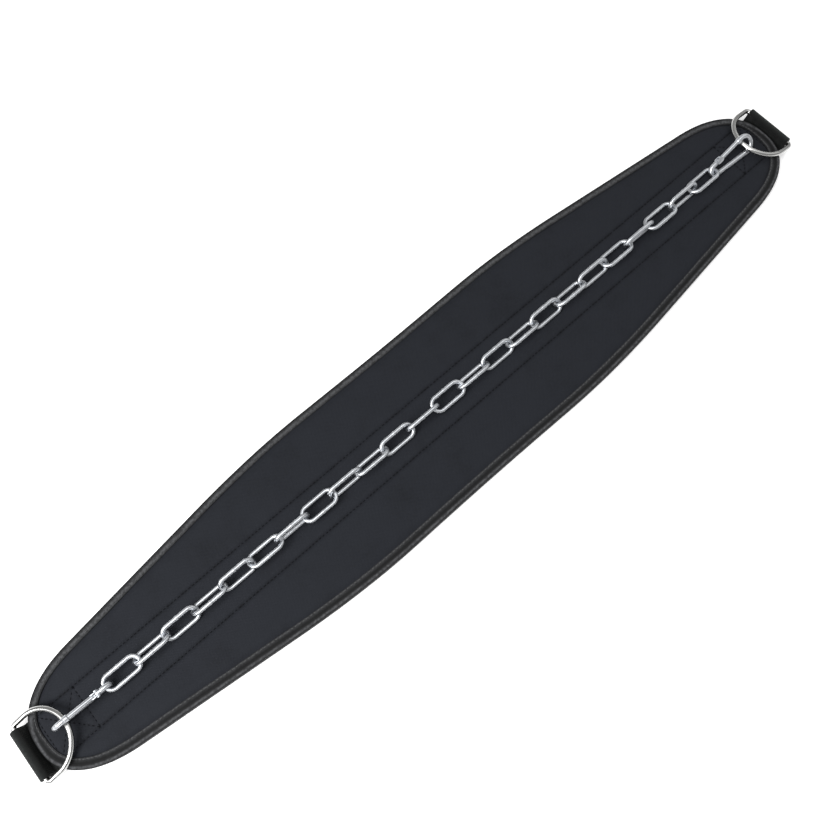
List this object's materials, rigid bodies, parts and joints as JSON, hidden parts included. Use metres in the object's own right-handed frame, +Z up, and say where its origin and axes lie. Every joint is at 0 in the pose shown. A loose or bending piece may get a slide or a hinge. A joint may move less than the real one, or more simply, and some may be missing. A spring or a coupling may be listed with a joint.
{
  "type": "dip belt",
  "caption": "Padded dip belt with bound edges, a webbing strap on its back, D-rings at its ends and a weight chain held between them by snap hooks.",
  "frame": {"origin": "middle of the belt, on the surface that its back lies on", "axes": "+X along the belt towards the right D-ring, +Y across it, +Z up from its back to its padded face"},
  "size_m": [0.9296, 0.1658, 0.033],
  "materials": {
    "fabric": "woven cover over foam, matt",
    "tape": "ribbed binding tape, matt",
    "webbing": "woven webbing, slight sheen",
    "nickel": "polished nickel plate",
    "zinc": "bright zinc plate"
  },
  "bodies": {
    "belt": {"belt_pad": "fabric", "edge_binding": "tape", "webbing_strap": "webbing", "d_ring_left": "nickel", "d_ring_right": "nickel", "hook_body_left": "zinc", "hook_body_right": "zinc", "chain_link_01": "zinc", "chain_link_02": "zinc", "chain_link_03": "zinc", "chain_link_04": "zinc", "chain_link_05": "zinc", "chain_link_06": "zinc", "chain_link_07": "zinc", "chain_link_08": "zinc", "chain_link_09": "zinc", "chain_link_10": "zinc", "chain_link_11": "zinc", "chain_link_12": "zinc", "chain_link_13": "zinc", "chain_link_14": "zinc", "chain_link_15": "zinc", "chain_link_16": "zinc", "chain_link_17": "zinc", "chain_link_18": "zinc", "chain_link_19": "zinc", "chain_link_20": "zinc", "chain_link_21": "zinc", "chain_link_22": "zinc", "chain_link_23": "zinc", "chain_link_24": "zinc"},
    "gate_left": {"hook_gate_left": "zinc"},
    "gate_right": {"hook_gate_right": "zinc"}
  },
  "joints": [
    {"name": "gate_left_hinge", "type": "hinge", "parent": "belt", "child": "gate_left", "pos_m": [-0.38355, -0.00095, 0.02504], "axis": [-0.0137, -0.9848, -0.1731], "range_deg": [0, 19], "stiffness_Nm_per_rad": 0.1},
    {"name": "gate_right_hinge", "type": "hinge", "parent": "belt", "child": "gate_right", "pos_m": [0.38371, 0.00386, 0.02202], "axis": [0.04, 0.7071, -0.706], "range_deg": [0, 19], "stiffness_Nm_per_rad": 0.1}
  ]
}
